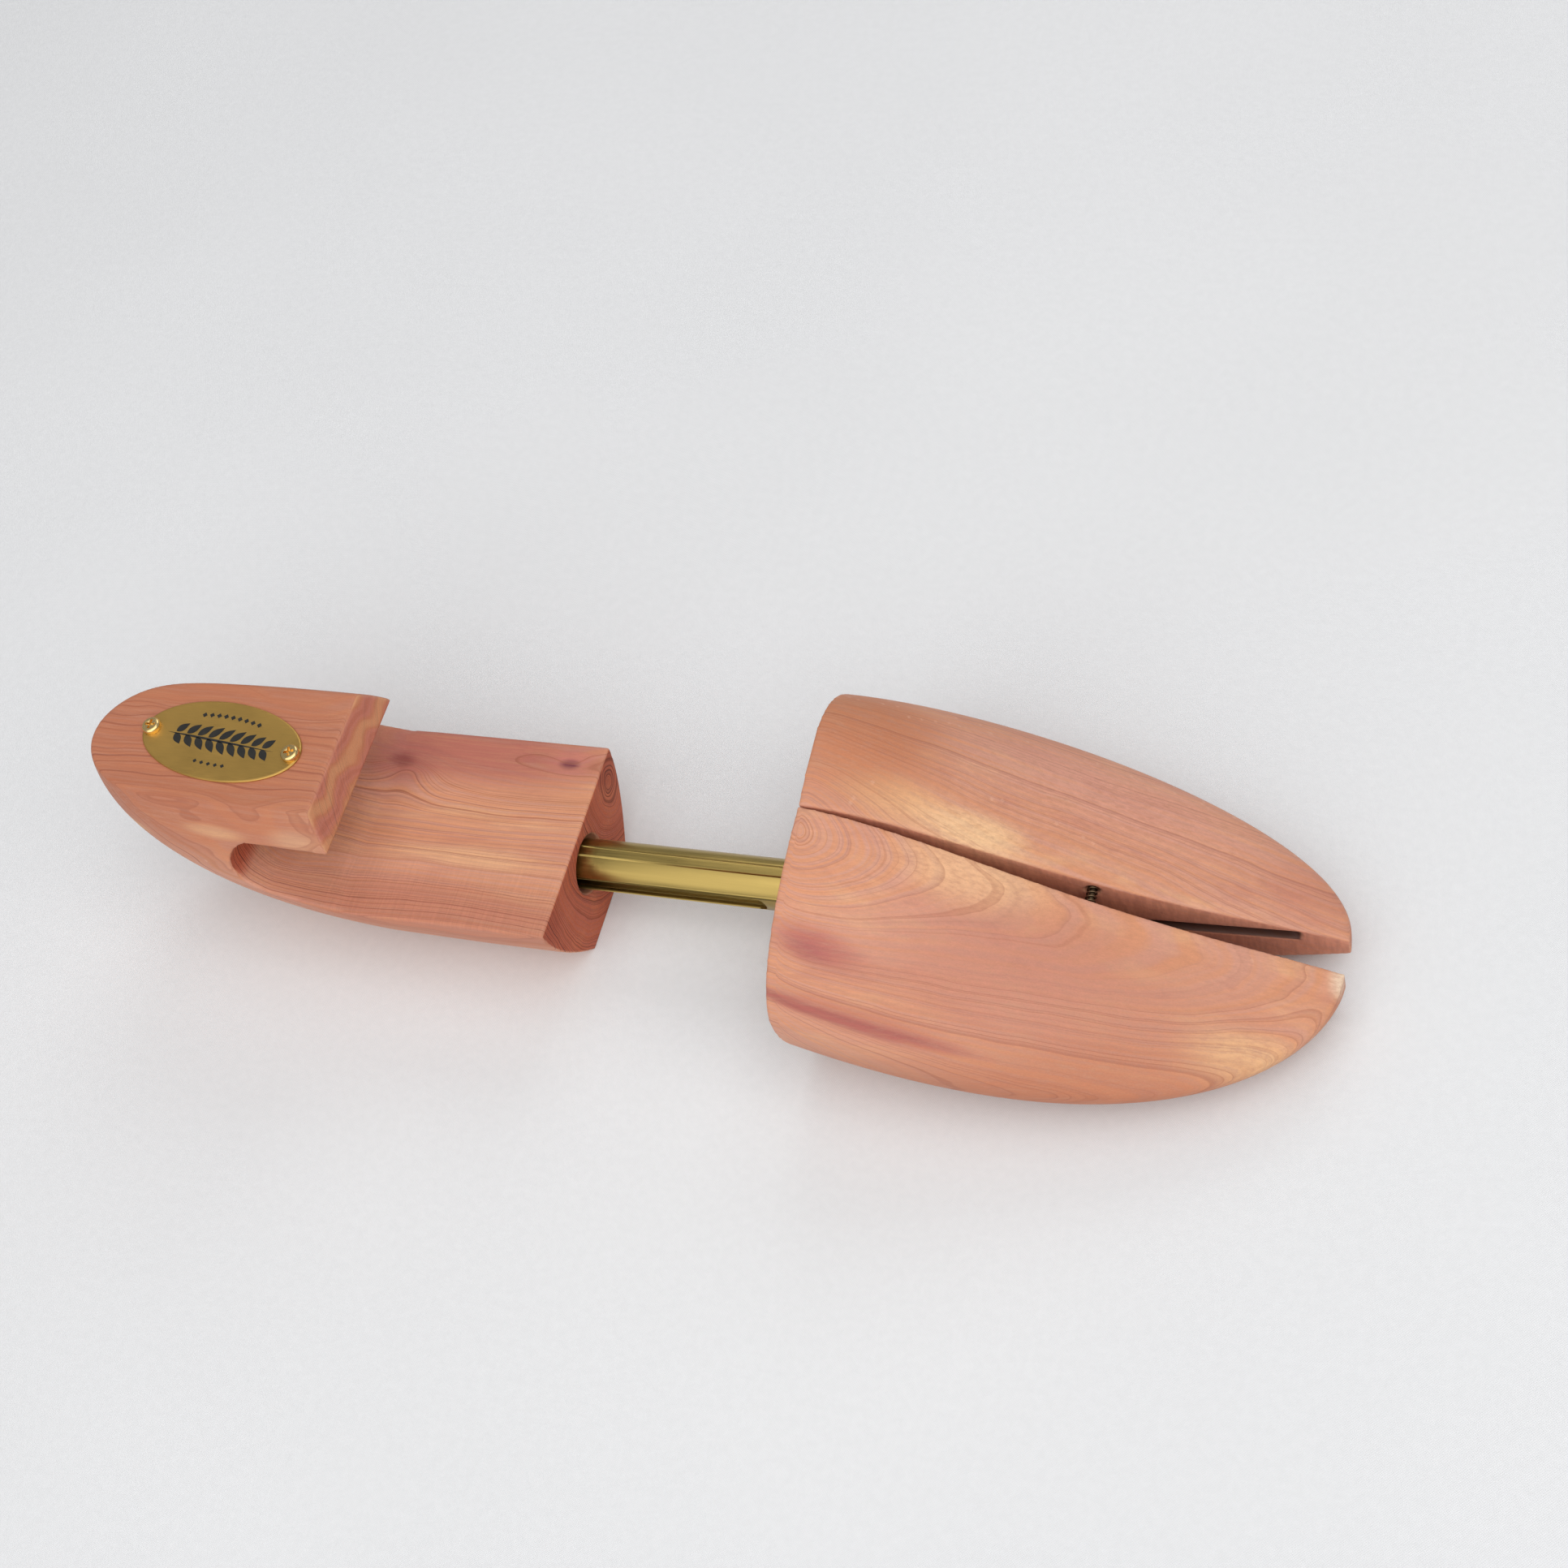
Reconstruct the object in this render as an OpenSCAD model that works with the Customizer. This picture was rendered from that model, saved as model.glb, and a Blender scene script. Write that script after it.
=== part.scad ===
// Cedar shoe tree for a right shoe: a heel block with a finger hook, a sprung
// slotted tube, and a toe block split into two halves that spread apart.
// +X points to the toe, +Z up. The origin lies on the resting surface, midway
// between heel and toe, under the axis of the tube. All sizes are millimetres.

/* [Overall] */
// Height of the tube axis above the resting surface
axis_z = 16; // [15:0.5:17]
// Length of the heel block
heel_len = 108; // [104:1:114]
// Length of tube that shows between the blocks when extended
tube_show = 55; // [50:1:65]
// Length of the toe block
toe_len = 104; // [98:1:112]

/* [Heel block] */
// Widest half-width of the heel bar
heel_half_w = 23.75; // [22:0.25:26]
// Half-width of the flat underside
base_half_w = 12; // [10:0.5:14]
// Height of the bar's flat top
bar_h = 25.5; // [24:0.5:27]
// Half-width of the flat top of the hook
hook_half_w = 15.3; // [14:0.1:17]
// Height of the flat top of the hook
hook_h = 51; // [49:0.5:54]
// Distance from the front face back to the hook's upper front edge
hook_back = 47.5; // [45:0.5:50]
// Distance that the hook's lower lip reaches forward of its upper edge
lip_reach = 3.2; // [1:0.1:5]
// Height of the hook's lower lip
lip_z = 42.6; // [41:0.1:44]
// Distance from the front face back to the round end of the finger slot
slot_back = 62; // [60:0.5:68]
// Height of the middle of the finger slot
slot_z = 36; // [35:0.5:37]
// Radius of the round end of the finger slot
slot_r = 7.5; // [6:0.25:8]
// Share of the heel's length after which its sides round in
taper_from = 0.36; // [0.3:0.01:0.45]
// Share of the heel's length after which its underside narrows
base_from = 0.15; // [0.1:0.01:0.3]
// Height by which the underside rises at the back
heel_rise = 14; // [8:0.5:18]

/* [Toe block] */
// Angle by which each half stands open at rest
half_open = 1.9; // [1:0.1:2.5]
// Slit between the halves at their rear edge
rear_slit = 0.3; // [0.2:0.05:0.6]
// Distance from the toe's rear face to the two pivots
pivot_in = 20; // [18:0.5:24]
// Distance of each pivot from the middle plane
pivot_out = 9; // [8.5:0.25:11]
// Rise of the sole towards the tip
toe_spring = 7; // [4:0.5:9]
// Width of the rounding between side and sole
sole_round = 22; // [16:0.5:24]
// Depth of the saw kerf in each inner face
kerf_d = 16; // [14.5:0.5:18]
// Height of the saw kerf
kerf_h = 2.4; // [2.3:0.05:3]

/* [Tube and springs] */
// Outer radius of the tube
tube_r = 5.45; // [5:0.05:5.6]
// Wall of the tube
tube_wall = 0.9; // [0.8:0.05:1]
// Width of the tube's slot
tube_slot_w = 4.6; // [4.2:0.1:5]
// Radius of the bore in the heel block
bore_r = 6.45; // [6.3:0.05:6.7]
// Depth of the bore in the heel block
bore_d = 92; // [88:1:95]
// Wire of the main spring
main_wire = 1.2; // [1:0.1:1.3]
// Turns of the main spring
main_turns = 12; // [9:1:13]
// Outer diameter of the spreader spring
spread_od = 2.3; // [2:0.1:2.5]

/* [Plate and fasteners] */
// Length of the oval plate
plate_len = 39.6; // [38:0.2:44]
// Width of the oval plate
plate_w = 19.6; // [18:0.2:22]
// Turn of the plate away from the heel's long axis
plate_turn = -5.6; // [-8:0.2:8]
// Thickness of the oval plate
plate_t = 0.5; // [0.4:0.1:0.8]
// Distance between the two plate screws
screw_gap = 35.6; // [34:0.1:36]
// Diameter of the retaining pin across the bore
retainer_d = 2.6; // [2.4:0.1:3]
// Diameter of the two pivot pins
pivot_d = 3; // [2.8:0.1:3.2]

/* [Hidden] */
$fn = 64;
eps = 0.01;

cedar = [0.80, 0.56, 0.44];
brass = [0.70, 0.56, 0.25];
steel = [0.62, 0.62, 0.60];

total_len = heel_len + tube_show + toe_len;
heel_x = heel_len - total_len / 2;
toe_x = heel_x + tube_show;
tip_x = toe_x + toe_len;

// Near side is -Y, far side is +Y.
NEAR = -1;
FAR = 1;

// Distance by which a cutting tool passes its surface.
past = 5;

// Clearances between parts that slide or turn on each other.
coil_gap = 0.9;
seat_gap = 0.25;
spigot_gap = 0.08;
slot_end_gap = 0.55;
tongue_gap = 0.35;
pivot_gap = 0.06;
channel_gap = 0.75;

// ---------------------------------------------------------------- helpers

// Point of the Bezier curve with control values or points c at t.
function bezier(c, t) =
    len(c) == 1 ? c[0]
    : bezier([for (i = [0:len(c) - 2]) c[i] * (1 - t) + c[i + 1] * t], t);

// The smaller of two positive values, with a soft change-over.
function soft_min(a, b) = pow(pow(a, -6) + pow(b, -6), -1 / 6);

function reversed(v) = [for (i = [len(v) - 1:-1:0]) v[i]];

// Side faces between rings of k points, for n rings.
function ring_faces(n, k) = [
    for (i = [0:n - 2], j = [0:k - 1])
        let (a = i * k + j, b = i * k + (j + 1) % k)
            each [[a, b, a + k], [b, b + k, a + k]]
];

module along_x(x0, r, len, y = 0, z = axis_z) {
    translate([x0, y, z]) rotate([0, 90, 0]) cylinder(r = r, h = len);
}

module along_y(x, y0, r, len, z = axis_z) {
    translate([x, y0, z]) rotate([-90, 0, 0]) cylinder(r = r, h = len);
}

// Coil spring along +Z from 0 to len, swept as one closed tube of wire.
module coil(mean_r, wire_r, len, turns, per_turn, sides) {
    n = turns * per_turn;
    rise = (len - 2 * wire_r) / n;
    points = [
        for (i = [0:n], j = [0:sides - 1])
            let (a = 360 * i / per_turn, b = 360 * j / sides, r = mean_r + wire_r * cos(b))
                [r * cos(a), r * sin(a), wire_r + rise * i + wire_r * sin(b)]
    ];
    start = [for (j = [0:sides - 1]) j];
    finish = [for (j = [sides - 1:-1:0]) n * sides + j];
    polyhedron(points, concat([start], ring_faces(n + 1, sides), [finish]), convexity = 10);
}

// ------------------------------------------------------------- heel block

// Height of the rearmost point, and how far the back curves forward above and
// below it.
tuck_z = 37;
tuck_top = 2;
tuck_base = 12;

// Powers that set how suddenly the sides, the underside's width and its rise
// change towards the back.
taper_power = 2.4;
base_power = 1.2;
base_round = 0.6;
rise_power = 3;

// Share of the full half-width that the hook's top may reach.
top_share = 0.97;
straight_steps = 5;
taper_steps = 28;
last_turn = 88;
flank_steps = 8;

// How far u has come from a start to the back of the heel, as a share.
function share_past(u, start) = max(0, (u - start) / (1 - start));

// 1 along the straight part of the heel, rounding to 0 at the back.
function taper(u) = sqrt(1 - pow(share_past(u, taper_from), taper_power));

// How far the back of the heel curves forward at height z.
function tuck(z) =
    z > tuck_z ? tuck_top * pow((z - tuck_z) / (hook_h - tuck_z), 2)
    : tuck_base * pow((tuck_z - z) / tuck_z, 2);

// One side of the heel's cross-section, from underside to top.
function flank(u) =
    let (
        wide = heel_half_w * taper(u),
        top = soft_min(hook_half_w, top_share * wide),
        wide_z = bar_h + top_share * (hook_h - bar_h) * sqrt(1 - taper(u)),
        back = share_past(u, base_from),
        base = base_half_w * pow(1 - pow(back, base_power), base_round),
        base_z = heel_rise * pow(share_past(u, taper_from), rise_power),
        low_h = wide_z - base_z,
        low = [
            [base, base_z],
            [(base + wide) / 2, base_z + 0.3 * low_h],
            [wide, base_z + 0.7 * low_h],
            [wide, wide_z]
        ],
        high = [[wide, wide_z], [wide, (wide_z + hook_h) / 2], [top, hook_h]]
    )
    concat(
        [for (i = [0:flank_steps - 1]) bezier(low, i / flank_steps)],
        [for (i = [0:flank_steps]) bezier(high, i / flank_steps)]
    );

heel_stations = concat(
    [for (i = [0:straight_steps - 1]) taper_from * i / straight_steps],
    [for (i = [0:taper_steps]) taper_from + (1 - taper_from) * sin(last_turn * i / taper_steps)]
);

function heel_ring(u) =
    let (side = flank(u))
    [
        for (p = concat(side, [for (q = reversed(side)) [-q[0], q[1]]]))
            [heel_x - heel_len * u + tuck(p[1]) * pow(u, 3), p[0], p[1]]
    ];

// The heel before the finger slot and the holes are cut.
module heel_form() {
    n = len(heel_stations);
    half = 2 * flank_steps + 1;
    k = 2 * half;
    points = [for (u = heel_stations) each heel_ring(u)];
    last = (n - 1) * k;
    front = [for (j = [k - 1:-1:0]) j];
    back = [
        for (j = [0:half - 2])
            [last + j, last + j + 1, last + k - 2 - j, last + k - 1 - j]
    ];
    polyhedron(points, concat([front], ring_faces(n, k), back), convexity = 6);
}

// Outline, in X and Z, of what is sawn away above the bar and under the hook.
module slot_outline() {
    far_x = heel_x + past;
    far_z = hook_h + past;
    slot_x = heel_x - slot_back;
    edge_x = heel_x - hook_back;
    polygon([
        [far_x, bar_h],
        [edge_x, bar_h],
        [slot_x, slot_z - slot_r],
        [slot_x, slot_z + slot_r],
        [edge_x + lip_reach, lip_z],
        [edge_x, hook_h],
        [edge_x, far_z],
        [far_x, far_z]
    ]);
    translate([slot_x, slot_z]) circle(r = slot_r);
}

plate_back = 74.1;
plate_x = heel_x - plate_back;
screw_r = 1;
screw_len = 6;
retainer_back = 25;
retainer_x = heel_x - retainer_back;
slot_angle = 4;
retainer_from = -10.5;
retainer_to = 20.5;

// Puts its child on the hook's flat top, at x along the turned plate.
module on_plate(x) {
    translate([plate_x, 0, hook_h]) rotate([0, 0, plate_turn]) translate([x, 0, 0]) children();
}

// Rod across the bore, in line with the tube's slot.
module retainer_rod(to) {
    translate([retainer_x, 0, axis_z]) rotate([slot_angle, 0, 0])
        along_y(0, retainer_from, retainer_d / 2, to - retainer_from, 0);
}

module heel_block() {
    color(cedar)
    difference() {
        heel_form();
        translate([0, heel_half_w + past, 0]) rotate([90, 0, 0])
            linear_extrude(2 * heel_half_w + 2 * past) slot_outline();
        along_x(heel_x - bore_d, bore_r, bore_d + past);
        retainer_rod(heel_half_w + past);
        for (side = [-1, 1])
            on_plate(side * screw_gap / 2)
                translate([0, 0, -screw_len]) cylinder(r = screw_r, h = screw_len + past);
    }
}

// ------------------------------------------------------- plate and screws

module oval(a, b) {
    polygon([for (t = [0:5:355]) [a * cos(t), b * sin(t)]]);
}

module oval_plate() {
    color(brass)
    on_plate(0)
    difference() {
        linear_extrude(plate_t) oval(plate_len / 2, plate_w / 2);
        for (side = [-1, 1])
            translate([side * screw_gap / 2, 0, -past]) cylinder(r = screw_r, h = plate_t + 2 * past);
    }
}

// Pan-head cross-recess wood screw, with its cross turned by an angle.
module plate_screw(side, turn) {
    head_r = 2.05;
    head_h = 1.3;
    recess_w = 0.6;
    recess_l = 2.3;
    recess_d = 0.8;
    point_r = 0.2;
    point_l = 1.2;
    color(brass)
    on_plate(side * screw_gap / 2)
    difference() {
        union() {
            translate([0, 0, point_l - screw_len]) cylinder(r = screw_r, h = screw_len);
            translate([0, 0, -screw_len]) cylinder(r1 = point_r, r2 = screw_r, h = point_l);
            translate([0, 0, plate_t]) rotate_extrude() {
                square([head_r, head_h / 2]);
                square([head_r - head_h / 2, head_h]);
                intersection() {
                    square([head_r, head_h]);
                    translate([head_r - head_h / 2, head_h / 2]) circle(r = head_h / 2);
                }
            }
        }
        for (a = [turn, turn + 90])
            rotate([0, 0, a])
                translate([-recess_l / 2, -recess_w / 2, plate_t + head_h - recess_d])
                    cube([recess_l, recess_w, past]);
    }
}

module plate_screw_front() { plate_screw(1, 25); }
module plate_screw_rear() { plate_screw(-1, 8); }

// --------------------------------------------- tube, seat, pin and spring

slot_rear_x = retainer_x - retainer_d / 2 - slot_end_gap;
slot_to_toe = 13.3;
slot_front_x = toe_x - slot_to_toe;
tube_rear_x = slot_rear_x - 9;
tube_in_toe = 11;
tube_front_x = toe_x + tube_in_toe;
seat_flange = 2.5;
seat_rear_x = tube_rear_x - seat_flange;
bore_end_x = heel_x - bore_d;

module retaining_pin() {
    color(steel) retainer_rod(retainer_to);
}

module main_spring() {
    color(steel)
    translate([bore_end_x, 0, axis_z]) rotate([0, 90, 0])
        coil(bore_r - coil_gap - main_wire / 2, main_wire / 2,
             seat_rear_x - bore_end_x, main_turns, 16, 6);
}

// Turned plug between spring and tube, with a spigot at each end.
module spring_seat() {
    tube_spigot = 6;
    coil_spigot = 5;
    coil_spigot_r = bore_r - 3;
    color(steel)
    union() {
        along_x(seat_rear_x, bore_r - seat_gap, seat_flange);
        along_x(tube_rear_x - eps, tube_r - tube_wall - spigot_gap, tube_spigot + eps);
        along_x(seat_rear_x - coil_spigot, coil_spigot_r, coil_spigot + eps);
    }
}

// Slot with round ends, cut through both walls for the retaining pin.
module tube_slot() {
    slot_r0 = tube_slot_w / 2;
    reach = tube_r + past;
    translate([0, 0, axis_z]) rotate([slot_angle, 0, 0]) {
        for (x = [slot_rear_x + slot_r0, slot_front_x - slot_r0])
            translate([x, reach, 0]) rotate([90, 0, 0]) cylinder(r = slot_r0, h = 2 * reach);
        translate([slot_rear_x + slot_r0, -reach, -slot_r0])
            cube([slot_front_x - slot_rear_x - tube_slot_w, 2 * reach, tube_slot_w]);
    }
}

rivet_r = 1.2;
rivet_x = [toe_x + 4, toe_x + 8.2];

module slotted_tube() {
    color(brass)
    difference() {
        along_x(tube_rear_x, tube_r, tube_front_x - tube_rear_x);
        along_x(tube_rear_x - past, tube_r - tube_wall, tube_front_x - tube_rear_x + 2 * past);
        tube_slot();
        for (x = rivet_x) translate([x, 0, 0]) cylinder(r = rivet_r, h = 3 * axis_z);
    }
}

// Rivet through tube and tongue, ground flush with the tube's wall.
module tongue_rivet(x) {
    flush = tube_r - 0.2;
    color(steel)
    translate([x, 0, axis_z - flush]) cylinder(r = rivet_r, h = 2 * flush);
}

module tongue_rivet_rear() { tongue_rivet(rivet_x[0]); }
module tongue_rivet_front() { tongue_rivet(rivet_x[1]); }

tongue_t = 2;
tongue_half_w = 13;
tongue_drop = 3.5;
tongue_front_x = toe_x + 43;
joggle_x = tube_front_x + 1;
wide_x = joggle_x + 4.5;
pivot_x = toe_x + pivot_in;

// Stepped side outline of the tongue: high in the tube, low in the kerfs.
module tongue_outline() {
    top = axis_z + tongue_t / 2;
    low = top - tongue_drop;
    polygon([
        [toe_x + 1, top],
        [joggle_x, top],
        [wide_x, low],
        [tongue_front_x, low],
        [tongue_front_x, low - tongue_t],
        [wide_x - tongue_t / 3, low - tongue_t],
        [joggle_x - tongue_t / 3, top - tongue_t],
        [toe_x + 1, top - tongue_t]
    ]);
}

// Steel tongue riveted in the tube, on which both toe halves pivot.
module tongue_plate() {
    shank_half_w = tube_r - tube_wall - tongue_gap;
    nose_x = tongue_front_x - tongue_half_w;
    color(steel)
    difference() {
        translate([0, tongue_half_w, 0]) rotate([90, 0, 0])
            linear_extrude(2 * tongue_half_w) tongue_outline();
        for (side = [NEAR, FAR]) {
            y0 = side == FAR ? shank_half_w : -2 * tongue_half_w;
            translate([toe_x, y0, 0])
                cube([wide_x - toe_x, 2 * tongue_half_w - shank_half_w, 2 * axis_z]);
            translate([pivot_x, side * pivot_out, 0])
                cylinder(r = pivot_d / 2 + pivot_gap, h = 2 * axis_z);
        }
        difference() {
            translate([nose_x, -2 * tongue_half_w, 0])
                cube([2 * tongue_half_w, 4 * tongue_half_w, 2 * axis_z]);
            translate([nose_x, 0, -past]) cylinder(r = tongue_half_w, h = 2 * axis_z + 2 * past);
        }
        for (x = rivet_x) translate([x, 0, 0]) cylinder(r = rivet_r, h = 2 * axis_z);
    }
}

// -------------------------------------------------------------- toe block

// Control values of the Bezier tracks that shape the toe from rear to tip.
near_half_w = [37, 40.5, 39, 39];
far_half_w = [37, 41.5, 35.5, 30.5];
crown_y = [14.5, 6.5, 2.5, 0];
crown_z = [49.5, 46, 22, 20.5, 12];
wide_z = [26, 17, 10.5, 10.5];
tip_half_w = 1.5;
full_round_w = 34;
toe_steps = 42;
tip_crowding = 1.7;
crown_steps = 18;
round_steps = 10;

// How the width closes towards the tip.
nose_from = 3;
nose_round = 0.52;
function nose(s) = pow(max(0, 1 - pow(s, nose_from)), nose_round);

function toe_half_w(s, side) =
    bezier(side == NEAR ? near_half_w : far_half_w, s) * nose(s) + tip_half_w * s;

function sole_z(s) = toe_spring * pow(max(0, 2 * s - 1), 2);

// Height of the toe's upper surface at a distance y out from the split.
function crown(s, side, y) =
    let (
        peak = side * bezier(crown_y, s) * nose(s),
        span = y < peak ? toe_half_w(s, -side) + peak : toe_half_w(s, side) - peak,
        r = min(1, abs(y - peak) / span),
        low = bezier(wide_z, s)
    )
    low + (bezier(crown_z, s) - low) * sqrt(1 - r * r);

// Outline of one half at s, out from the split over the top and down to the sole.
function toe_outline(s, side) =
    let (
        w = toe_half_w(s, side),
        low = bezier(wide_z, s),
        inset = sole_round * min(1, w / full_round_w)
    )
    concat(
        [for (i = [0:crown_steps]) let (y = w * sin(90 * i / crown_steps)) [y, crown(s, side, y)]],
        [
            for (i = [1:round_steps])
                let (a = 90 * i / round_steps)
                    [w - inset * (1 - cos(a)), low - (low - sole_z(s)) * sin(a)]
        ],
        [[0, sole_z(s)]]
    );

function toe_station(i) = 1 - pow(1 - i / toe_steps, tip_crowding);

// One half of the toe, closed against the split, before any hole is cut.
module toe_form(side) {
    k = crown_steps + round_steps + 2;
    points = [
        for (i = [0:toe_steps])
            let (s = toe_station(i))
                for (p = toe_outline(s, side)) [toe_len * s, side * p[0], p[1]]
    ];
    rear = [for (j = [k - 1:-1:0]) j];
    tip = [for (j = [0:k - 1]) toe_steps * k + j];
    faces = concat([rear], ring_faces(toe_steps + 1, k), [tip]);
    polyhedron(points, side == NEAR ? [for (f = faces) reversed(f)] : faces, convexity = 6);
}

// Saw kerf in the inner face, in which the tongue lies.
module kerf() {
    tip_left = 9;
    kerf_end = toe_len - tip_left;
    saw_r = 45;
    saw_x = kerf_end - sqrt(pow(saw_r, 2) - pow(saw_r - kerf_d, 2));
    translate([-1, -kerf_d, 0]) cube([saw_x + 1, 2 * kerf_d, kerf_h]);
    intersection() {
        translate([saw_x, kerf_d - saw_r, 0]) cylinder(r = saw_r, h = kerf_h);
        translate([saw_x, saw_r - kerf_d, 0]) cylinder(r = saw_r, h = kerf_h);
    }
}

spread_x = toe_x + 55;
spread_z = 24;
spread_hole_r = 1.5;
spread_hole_d = 9.5;
spread_half = 7;
guide_r = 0.6;
guide_in = 2;
channel_end = 0.5;
pivot_top = 30;
pivot_sink = 2;

module toe_half(side) {
    color(cedar)
    difference() {
        translate([toe_x, side * rear_slit / 2, 0]) rotate([0, 0, side * half_open])
            difference() {
                toe_form(side);
                translate([0, 0, axis_z - tongue_drop - kerf_h / 2]) kerf();
            }
        along_x(toe_x - past, tube_r + channel_gap, wide_x - toe_x + past + channel_end);
        translate([pivot_x, side * pivot_out, -past])
            cylinder(r = pivot_d / 2, h = pivot_top + past);
        along_y(spread_x, side == FAR ? 0 : -spread_hole_d, spread_hole_r, spread_hole_d, spread_z);
    }
}

module toe_half_near() { toe_half(NEAR); }
module toe_half_far() { toe_half(FAR); }

module pivot_pin(side) {
    color(steel)
    translate([pivot_x, side * pivot_out, pivot_sink])
        cylinder(d = pivot_d, h = pivot_top - pivot_sink);
}

module pivot_pin_near() { pivot_pin(NEAR); }
module pivot_pin_far() { pivot_pin(FAR); }

// Small spring that pushes the halves apart, on a pin that keeps it straight.
module spreader_spring() {
    wire = 0.4;
    color(steel)
    translate([spread_x, -spread_half, spread_z]) rotate([-90, 0, 0])
        coil((spread_od - wire) / 2, wire / 2, 2 * spread_half, 14, 12, 5);
}

module guide_pin() {
    color(steel)
    along_y(spread_x, guide_in - spread_half, guide_r, 2 * (spread_half - guide_in), spread_z);
}

// ------------------------------------------------------------------ nodes

heel_block();
oval_plate();
plate_screw_front();
plate_screw_rear();
retaining_pin();
main_spring();
spring_seat();
slotted_tube();
tongue_plate();
tongue_rivet_front();
tongue_rivet_rear();
toe_half_near();
toe_half_far();
pivot_pin_near();
pivot_pin_far();
spreader_spring();
guide_pin();
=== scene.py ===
"""Looks of the cedar shoe tree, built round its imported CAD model. Forms are in millimetres."""
import math

import bmesh
import bpy
from mathutils import Matrix, Vector


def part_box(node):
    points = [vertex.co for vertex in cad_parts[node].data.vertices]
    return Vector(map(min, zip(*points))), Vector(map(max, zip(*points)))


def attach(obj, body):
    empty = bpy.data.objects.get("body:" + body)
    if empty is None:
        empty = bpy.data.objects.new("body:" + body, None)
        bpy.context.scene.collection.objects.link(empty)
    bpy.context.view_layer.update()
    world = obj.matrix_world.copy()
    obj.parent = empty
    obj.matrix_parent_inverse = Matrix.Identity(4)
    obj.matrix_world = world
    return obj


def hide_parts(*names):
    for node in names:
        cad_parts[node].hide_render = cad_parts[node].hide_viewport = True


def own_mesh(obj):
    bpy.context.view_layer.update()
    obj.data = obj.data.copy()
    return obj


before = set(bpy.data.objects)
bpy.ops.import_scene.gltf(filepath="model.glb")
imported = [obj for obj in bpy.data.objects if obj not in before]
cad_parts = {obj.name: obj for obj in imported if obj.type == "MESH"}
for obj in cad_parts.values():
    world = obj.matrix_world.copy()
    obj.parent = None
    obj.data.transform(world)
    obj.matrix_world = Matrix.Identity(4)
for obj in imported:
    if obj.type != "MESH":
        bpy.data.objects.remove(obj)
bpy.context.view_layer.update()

MM = 0.001
NEAR, FAR = -1, 1
PAST = 5  # how far a cutter reaches beyond the wood it opens

# ------------------------------------------------------------------ places taken from the frame

HEEL_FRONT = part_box("heel_block")[1].x / MM
HOOK_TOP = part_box("heel_block")[1].z / MM
TUBE_IN_TOE = 11
TOE_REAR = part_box("slotted_tube")[1].x / MM - TUBE_IN_TOE
AXIS_Z = (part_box("slotted_tube")[0].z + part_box("slotted_tube")[1].z) / 2 / MM


# ------------------------------------------------------------------ mesh helpers

def link(name, mesh):
    obj = bpy.data.objects.new(name, mesh)
    bpy.context.scene.collection.objects.link(obj)
    return obj


def solid(name, points, faces):
    """Closed mesh from points in millimetres, with its faces turned outwards."""
    mesh = bpy.data.meshes.new(name)
    mesh.from_pydata([Vector(p) * MM for p in points], [], faces)
    work = bmesh.new()
    work.from_mesh(mesh)
    bmesh.ops.recalc_face_normals(work, faces=work.faces)
    work.to_mesh(mesh)
    work.free()
    return link(name, mesh)


def loft(name, rings):
    """Closed skin over rings that have the same number of points."""
    k = len(rings[0])
    points = [p for ring in rings for p in ring]
    faces = [
        (i * k + j, i * k + (j + 1) % k, (i + 1) * k + (j + 1) % k, (i + 1) * k + j)
        for i in range(len(rings) - 1)
        for j in range(k)
    ]
    faces.append(tuple(range(k)))
    faces.append(tuple(range(len(points) - k, len(points))))
    return solid(name, points, faces)


def prism(outline, at, lo, hi):
    """Outline swept from lo to hi; at(u, v, w) says where its point (u, v) lies at height w."""
    return loft("cutter", [[at(u, v, w) for u, v in outline] for w in (lo, hi)])


def circle(x, y, r, steps=64):
    turns = [2 * math.pi * i / steps for i in range(steps)]
    return [(x + r * math.cos(a), y + r * math.sin(a)) for a in turns]


def rod(start, end, r, steps=48):
    """Cylinder between two points."""
    start, end = Vector(start), Vector(end)
    turn = (end - start).to_track_quat("Z", "Y")
    length = (end - start).length
    at = lambda u, v, w: start + turn @ Vector((u, v, w))
    return prism(circle(0, 0, r, steps), at, 0, length)


def smooth_shading(obj):
    obj.data.polygons.foreach_set("use_smooth", [True] * len(obj.data.polygons))


def bake_modifiers(obj):
    """Gives the object the mesh that its modifiers make."""
    bpy.context.view_layer.update()
    graph = bpy.context.evaluated_depsgraph_get()
    mesh = bpy.data.meshes.new_from_object(obj.evaluated_get(graph))
    obj.modifiers.clear()
    obj.data = mesh
    return obj


def cut(obj, cutters):
    """Takes each cutter away from the object, and removes the cutter."""
    for cutter in cutters:
        step = obj.modifiers.new("cut", "BOOLEAN")
        step.operation = "DIFFERENCE"
        step.solver = "EXACT"
        step.object = cutter
        bake_modifiers(obj)
        bpy.data.objects.remove(cutter)
    return obj


def soften(obj, voxel, passes):
    """Even mesh whose edges are eased by about one voxel, as sanding eases them."""
    remesh = obj.modifiers.new("even", "REMESH")
    remesh.mode = "VOXEL"
    remesh.voxel_size = voxel * MM
    smooth = obj.modifiers.new("ease", "SMOOTH")
    smooth.factor = 0.5
    smooth.iterations = passes
    bake_modifiers(obj)
    smooth_shading(obj)
    return obj


def bezier(values, t):
    """Number at share t along a Bezier curve through control values."""
    while len(values) > 1:
        values = [a * (1 - t) + b * t for a, b in zip(values, values[1:])]
    return values[0]


def bezier2(points, t):
    """The same for a curve in a plane."""
    return tuple(bezier([p[i] for p in points], t) for i in (0, 1))


# ------------------------------------------------------------------ heel block

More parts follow.
